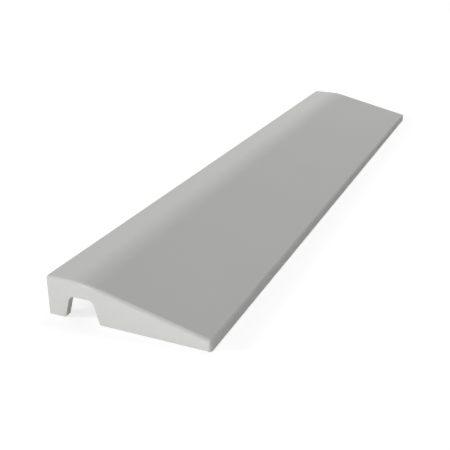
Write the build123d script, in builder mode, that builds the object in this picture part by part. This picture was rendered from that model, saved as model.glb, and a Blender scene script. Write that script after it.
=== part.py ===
from build123d import *

import os
from math import atan2, radians, tan

# A drop-over cable protector ramp: one ribbed plastic moulding that stands on pressed-in rubber pads.
# X runs across the ramp, from its tall back to its thin front lip, Y along it and Z up.
# The origin is on the floor, under the middle of the ramp. All sizes are in millimetres.

# Outside of the moulding, measured from its rim, the lower edge of all its walls.
length = 1000.0
width = 197.0
body_height = 46.4
lip_height = 12.0
flat_width = 47.0  # level tread at the back, to where its line meets the slope's
crest_radius = 115.0  # rolls the level tread into the slope
edge_radius = 3.5  # along the top of each end face and round the lip
back_edge_radius = 0.5  # round the back

# Cable channel along the back, open to the floor, with the same outline in every cross wall.
foot_width = 21.0  # from the back to the channel, at the rim
channel_width = 44.2  # at the rim
channel_height = 27.4
channel_lean = 15.0  # degrees that each side leans inwards
channel_roof_radius = 7.5
channel_mouth_radius = 1.2

# Hollow underside.
skin = 7.0
end_wall = 9.0
cross_rib = 5.0
bays = 10  # hollows between the two end walls
channel_wall = 5.0  # parts the channel from the hollow under the slope
slope_rib = 5.0  # long rib under the middle of the slope
toe_width = 30.0  # solid bar behind the lip
back_skirt = 6.0
skirt_gap = 10.0  # the skirt stops this far above the rim between the feet
root_radius = 2.0  # where ribs meet the skin and each other

# Rubber pads, pressed into the thickened feet and into the toe.
ribs_per_pad = 2  # a pad on every second cross rib
leg_length = 24.0
pad_diameter = 14.0
pad_seat = 4.0
pad_proud = 0.5
stem_diameter = 6.0
stem_length = 6.0
pad_edge = 0.8
groove_inner_diameter = 6.0
groove_width = 1.5
groove_depth = 1.2
fit_clearance = 0.1  # on the radius, round pad and stem
stem_end_clearance = 0.5

overcut = 5.0  # how far a cutting shape runs past what it cuts

back = -width / 2
lip = width / 2
near_end = -length / 2
rim = pad_proud
top = rim + body_height
crest = back + flat_width
slope = atan2(body_height - lip_height, width - flat_width)

ceiling = top - skin
ceiling_bend = crest - skin * tan(slope / 2)
toe_back = lip - toe_width
toe_ceiling = ceiling - (toe_back - ceiling_bend) * tan(slope)

lean_run = channel_height * tan(radians(channel_lean))
channel_back = back + foot_width
channel_front = channel_back + channel_width
channel_roof = rim + channel_height

bay_length = (length - 2 * end_wall - (bays - 1) * cross_rib) / bays
bay_pitch = bay_length + cross_rib
bay_middles = [near_end + end_wall + bay_length / 2 + bay_pitch * bay for bay in range(bays)]
rib_middles = [middle + bay_pitch / 2 for middle in bay_middles[:-1]]
pad_stations = rib_middles[::ribs_per_pad]
pad_rows = {"back": back + foot_width / 2, "front": lip - toe_width / 2}

os.makedirs("parts", exist_ok=True)

# The hollow of one bay: three pockets, beside each other under the skin.
# The long walls that part them lean like the side of the channel, or stand upright under the slope.
with BuildPart() as bay_hollow:
    with BuildSketch(Plane.XZ):
        with BuildLine():
            Polyline(
                (back + back_skirt, rim - overcut),
                (back + back_skirt, ceiling),
                (ceiling_bend, ceiling),
                (toe_back, toe_ceiling),
                (toe_back, rim - overcut),
                close=True,
            )
        make_face()
        wall_run = (top - rim + overcut) * tan(radians(channel_lean))
        below_run = overcut * tan(radians(channel_lean))
        with BuildLine():
            Polyline(
                (channel_front + below_run, rim - overcut),
                (channel_front + below_run - wall_run, top),
                (channel_front + below_run - wall_run + channel_wall, top),
                (channel_front + below_run + channel_wall, rim - overcut),
                close=True,
            )
        make_face(mode=Mode.SUBTRACT)
        with Locations(((channel_front + channel_wall + toe_back) / 2, rim)):
            Rectangle(slope_rib, 2 * top, mode=Mode.SUBTRACT)
    extrude(amount=bay_length / 2, both=True)
    mouth = bay_hollow.edges().group_by(Axis.Z)[0]
    fillet(bay_hollow.edges() - mouth, radius=root_radius)

with BuildPart() as ramp_body:
    # Outer wedge: upright back, level tread, slope and upright lip.
    with BuildSketch(Plane.XZ) as outline:
        with BuildLine():
            Polyline(
                (back, rim),
                (back, top),
                (crest, top),
                (lip, rim + lip_height),
                (lip, rim),
                close=True,
            )
        make_face()
        fillet(outline.vertices().group_by(Axis.Y)[-1].sort_by(Axis.X)[-1], radius=crest_radius)
    extrude(amount=length / 2, both=True)
    underside = ramp_body.faces().sort_by(Axis.Z)[0]
    back_face = ramp_body.faces().sort_by(Axis.X)[0]
    lip_face = ramp_body.faces().sort_by(Axis.X)[-1]
    end_faces = ramp_body.faces().filter_by(Plane.XZ)
    front_edges = end_faces.edges() + lip_face.edges() - back_face.edges() - underside.edges()
    fillet(front_edges, radius=edge_radius)
    underside = ramp_body.faces().sort_by(Axis.Z)[0]
    back_face = ramp_body.faces().sort_by(Axis.X)[0]
    fillet(back_face.edges() - underside.edges(), radius=back_edge_radius)

    # Hollows between the cross walls, and the clearance under the back skirt.
    with Locations(*[(0, middle, 0) for middle in bay_middles]):
        add(bay_hollow.part, mode=Mode.SUBTRACT)
    with Locations(*[(back, middle, rim) for middle in bay_middles]):
        Box(2 * (back_skirt + root_radius), bay_length, 2 * skirt_gap, mode=Mode.SUBTRACT)

    # Thick feet for the back row of pads.
    with Locations(*[(back, station, rim) for station in pad_stations]):
        Box(
            foot_width + lean_run,
            leg_length,
            ceiling - rim,
            align=(Align.MIN, Align.CENTER, Align.MIN),
        )

    # Cable channel through both end walls and every cross rib.
    with BuildSketch(Plane.XZ) as channel:
        with BuildLine():
            Polyline(
                (channel_back, rim),
                (channel_back + lean_run, channel_roof),
                (channel_front - lean_run, channel_roof),
                (channel_front, rim),
                close=True,
            )
        make_face()
        fillet(channel.vertices().group_by(Axis.Y)[-1], radius=channel_roof_radius)
        with Locations((0, rim)):
            Rectangle(width + overcut, overcut, align=(Align.CENTER, Align.MAX))
        mouth_corners = channel.vertices().group_by(Axis.Y)[1]
        inner_corners = mouth_corners.sort_by(Axis.X)[1:-1]
        fillet(inner_corners, radius=channel_mouth_radius)
    extrude(amount=length, both=True, mode=Mode.SUBTRACT)

    # Stepped sockets for the pads, opening downwards.
    sockets = [
        Plane(origin=(x, y, rim), z_dir=(0, 0, -1)) for x in pad_rows.values() for y in pad_stations
    ]
    with Locations(*sockets):
        CounterBoreHole(
            radius=stem_diameter / 2 + fit_clearance,
            counter_bore_radius=pad_diameter / 2 + fit_clearance,
            counter_bore_depth=pad_seat,
            depth=pad_seat + stem_length + stem_end_clearance,
        )

ramp_body.part.label = "ramp_body"
export_step(ramp_body.part, "parts/ramp_body.step")

# Rubber pad: a disc with a stem, a bevelled lower edge and one grip groove.
pad_thickness = pad_proud + pad_seat
with BuildPart() as pad_form:
    Cylinder(
        radius=pad_diameter / 2,
        height=pad_thickness,
        align=(Align.CENTER, Align.CENTER, Align.MIN),
    )
    chamfer(pad_form.edges().sort_by(Axis.Z)[0], length=pad_edge)
    with BuildSketch():
        Circle(radius=groove_inner_diameter / 2 + groove_width)
        Circle(radius=groove_inner_diameter / 2, mode=Mode.SUBTRACT)
    extrude(amount=groove_depth, mode=Mode.SUBTRACT)
    with Locations((0, 0, pad_thickness)):
        Cylinder(
            radius=stem_diameter / 2,
            height=stem_length,
            align=(Align.CENTER, Align.CENTER, Align.MIN),
        )
    chamfer(pad_form.edges().sort_by(Axis.Z)[-1], length=pad_edge)

for row, x in pad_rows.items():
    for number, y in enumerate(pad_stations, start=1):
        with BuildPart() as rubber_pad:
            with Locations((x, y, 0)):
                add(pad_form.part)
        name = f"rubber_pad_{row}_{number}"
        rubber_pad.part.label = name
        export_step(rubber_pad.part, f"parts/{name}.step")
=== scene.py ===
"""Looks of the cable protector ramp: satin grey moulded plastic on black rubber pads."""

from math import pi, radians, tan

import bpy
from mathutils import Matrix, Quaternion, Vector

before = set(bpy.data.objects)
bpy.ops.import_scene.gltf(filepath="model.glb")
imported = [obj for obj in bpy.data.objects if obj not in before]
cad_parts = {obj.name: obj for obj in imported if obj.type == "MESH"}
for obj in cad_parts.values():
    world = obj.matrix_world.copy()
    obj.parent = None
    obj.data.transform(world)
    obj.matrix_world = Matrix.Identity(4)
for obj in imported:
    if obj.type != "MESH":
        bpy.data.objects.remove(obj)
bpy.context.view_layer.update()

PLASTIC_ROUGHNESS = 0.62
PLASTIC_SPECULAR = 0.15
GLINT_COAT = 0.55  # a glossy coat laid only along the roundings of the end faces, as a painted highlight
ROUNDING_INNER = (0.4963, 0.4973)  # from the middle of the length, where the painted highlight's coat sets in
ROUNDING_OUTER = (0.49985, 0.49998)  # and where it ends, short of the flat end face
FLOOR_SIZE = 5.0


# ---------------------------------------------------------------------------------------------
# Node trees
# ---------------------------------------------------------------------------------------------
class Field:
    """What one output socket gives over a surface, with arithmetic on it."""

    def __init__(self, recipe, socket):
        self.recipe = recipe
        self.socket = socket

    def __add__(self, other):
        return self.recipe.maths("ADD", self, other)

    def __sub__(self, other):
        return self.recipe.maths("SUBTRACT", self, other)

    def __rsub__(self, other):
        return self.recipe.maths("SUBTRACT", other, self)

    def __mul__(self, other):
        return self.recipe.maths("MULTIPLY", self, other)

    __radd__ = __add__
    __rmul__ = __mul__


class Recipe:
    """The node tree of a material or a world, emptied and built up again."""

    def __init__(self, owner):
        owner.use_nodes = True
        self.tree = owner.node_tree
        self.tree.nodes.clear()

    def node(self, kind, settings=None, sockets=None, output=0):
        """Adds a node: its settings first, then the values or links of its sockets.

        A socket goes by its identifier. The output may be a name or a number.
        """
        made = self.tree.nodes.new("ShaderNode" + kind)
        for name, value in (settings or {}).items():
            setattr(made, name, value)
        by_identifier = {socket.identifier: socket for socket in made.inputs}
        for identifier, value in (sockets or {}).items():
            socket = by_identifier[identifier]
            if isinstance(value, Field):
                self.tree.links.new(value.socket, socket)
            else:
                socket.default_value = value
        return Field(self, made.outputs[output] if made.outputs else None)

    def maths(self, operation, *values):
        sockets = dict(zip(("Value", "Value_001", "Value_002"), values))
        return self.node("Math", {"operation": operation}, sockets)

    def blend(self, share, first, second):
        """A colour between two colours."""
        sockets = {"Factor_Float": share, "A_Color": first, "B_Color": second}
        return self.node("Mix", {"data_type": "RGBA"}, sockets, "Result")

    def ramp(self, value, start, end):
        """0 up to the start, and 1 from the end on."""
        sockets = {"Value": value, "From Min": start, "From Max": end}
        return self.node("MapRange", {"interpolation_type": "SMOOTHSTEP"}, sockets)

    def noise(self, place, scale, detail, roughness):
        sockets = {"Vector": place, "Scale": scale, "Detail": detail, "Roughness": roughness}
        return self.node("TexNoise", None, sockets, "Fac")


def grey(level, warmth=0.0):
    return (level, level, level - warmth, 1.0)


def build_body_plastic():
    """Light grey moulded plastic with a fine even grain, and a glossy coat on its end-edge
    roundings only, as a painted highlight.
    """
    material = bpy.data.materials.new("body_plastic")
    recipe = Recipe(material)
    place = recipe.node("TexCoord", output="Object")
    grain = recipe.noise(place, 1400.0, 3.0, 0.6)
    mottle = recipe.noise(place, 9.0, 4.0, 0.55)
    tone = recipe.blend(mottle, grey(0.515, 0.015), grey(0.545, 0.015))
    bump = recipe.node("Bump", None, {"Strength": 0.25, "Distance": 0.0002, "Height": grain})
    along = recipe.node("SeparateXYZ", None, {"Vector": place}, "Y")
    from_middle = recipe.maths("ABSOLUTE", along)
    # Painted highlight: the coat goes only on the roundings of the end edges, where it makes a thin
    # glint.
    rounding = recipe.ramp(from_middle, *ROUNDING_INNER) - recipe.ramp(from_middle, *ROUNDING_OUTER)
    surface = {
        "Base Color": tone,
        "Roughness": PLASTIC_ROUGHNESS + 0.06 * (mottle - 0.5),
        "Specular IOR Level": PLASTIC_SPECULAR,
        "Coat Weight": GLINT_COAT * rounding,
        "Coat Roughness": 0.17,
        "Normal": bump,
    }
    recipe.node("OutputMaterial", None, {"Surface": recipe.node("BsdfPrincipled", None, surface)})
    return material


def build_pad_rubber():
    """Matt black rubber."""
    material = bpy.data.materials.new("pad_rubber")
    recipe = Recipe(material)
    place = recipe.node("TexCoord", output="Object")
    speckle = recipe.noise(place, 900.0, 3.0, 0.6)
    tone = recipe.blend(speckle, grey(0.018), grey(0.035))
    bump = recipe.node("Bump", None, {"Strength": 0.4, "Distance": 0.0002, "Height": speckle})
    surface = {"Base Color": tone, "Roughness": 0.7 + 0.15 * speckle, "Normal": bump}
    recipe.node("OutputMaterial", None, {"Surface": recipe.node("BsdfPrincipled", None, surface)})
    return material


finishes = {"body_plastic": build_body_plastic(), "pad_rubber": build_pad_rubber()}
for name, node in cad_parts.items():
    slot = "body_plastic" if name == "ramp_body" else "pad_rubber"
    node.data.materials.clear()
    node.data.materials.append(finishes[slot])


# ---------------------------------------------------------------------------------------------
# Stage: camera, floor, lamps and world
# ---------------------------------------------------------------------------------------------
def add_camera():
    data = bpy.data.cameras.new("camera")
    data.lens = 58.19
    data.sensor_width = 36.0
    camera = bpy.data.objects.new("camera", data)
    bpy.context.scene.collection.objects.link(camera)
    camera.location = (0.3603, -1.0687, 0.4054)
    aim = Vector((-0.0215, -0.1908, 0.0))
    roll = Quaternion((0.0, 0.0, 1.0), radians(0.14))
    camera.rotation_mode = "QUATERNION"
    camera.rotation_quaternion = (aim - camera.location).to_track_quat("-Z", "Y") @ roll
    bpy.context.scene.camera = camera


def sees_background(recipe):
    """1 for a ray that looks at the stage, straight, in a gloss or through glass, and else 0."""
    rays = ("Is Camera Ray", "Is Glossy Ray", "Is Transmission Ray")
    straight, gloss, glass = (recipe.node("LightPath", output=ray) for ray in rays)
    return recipe.maths("MAXIMUM", straight, recipe.maths("MAXIMUM", gloss, glass))


def add_floor():
    """White paper: it looks lifted to white, and it keeps a soft shadow."""
    bpy.ops.mesh.primitive_plane_add(size=FLOOR_SIZE, location=(0.0, 0.0, 0.0))
    floor = bpy.context.object
    floor.name = "floor"
    paper = bpy.data.materials.new("floor_paper")
    recipe = Recipe(paper)
    looked_at = sees_background(recipe)
    shade = 0.8 - 0.45 * looked_at
    colour = recipe.node("CombineXYZ", None, {"X": shade, "Y": shade, "Z": shade})
    lit = recipe.node("BsdfDiffuse", None, {"Color": colour})
    glow = recipe.node("Emission", None, {"Strength": 0.75 * looked_at})
    surface = recipe.node("AddShader", None, {"Shader": lit, "Shader_001": glow})
    recipe.node("OutputMaterial", None, {"Surface": surface})
    floor.data.materials.append(paper)


def add_softbox(name, bearing, height, distance, spread, strength):
    """A round softbox that faces the middle of the ramp.

    Its bearing, in degrees, goes round from the near end (0) by the lip (90), the far end (180)
    and the back (270), and its height is the angle above the floor. Its spread is the angle that
    it fills, seen from the ramp, and its strength is the light that it throws there.
    """
    data = bpy.data.lights.new(name, "AREA")
    data.shape = "DISK"
    data.size = 2.0 * distance * tan(radians(spread) / 2.0)
    data.energy = strength * pi * distance**2
    lamp = bpy.data.objects.new(name, data)
    bpy.context.scene.collection.objects.link(lamp)
    lamp.rotation_euler = (radians(90.0 - height), 0.0, radians(bearing))
    lamp.location = lamp.rotation_euler.to_matrix() @ Vector((0.0, 0.0, distance))


def add_world(sky):
    """An even sky, which looks white."""
    world = bpy.data.worlds.new("studio")
    bpy.context.scene.world = world
    recipe = Recipe(world)
    strength = sky + (1.0 - sky) * sees_background(recipe)
    white = (1.0, 1.0, 1.0, 1.0)
    background = recipe.node("Background", None, {"Color": white, "Strength": strength})
    recipe.node("OutputWorld", None, {"Surface": background})


add_camera()
add_floor()
add_softbox("key", bearing=298.0, height=14.0, distance=30.0, spread=16.0, strength=3.33)
add_softbox("side", bearing=240.0, height=16.0, distance=30.0, spread=16.0, strength=0.30)
add_softbox("rear", bearing=178.0, height=58.0, distance=6.0, spread=34.0, strength=1.76)
add_softbox("front", bearing=335.0, height=18.0, distance=30.0, spread=4.0, strength=0.60)
add_softbox("fill", bearing=35.0, height=12.0, distance=3.0, spread=24.0, strength=0.70)
add_world(sky=0.07)
bpy.context.scene.view_settings.view_transform = "Standard"
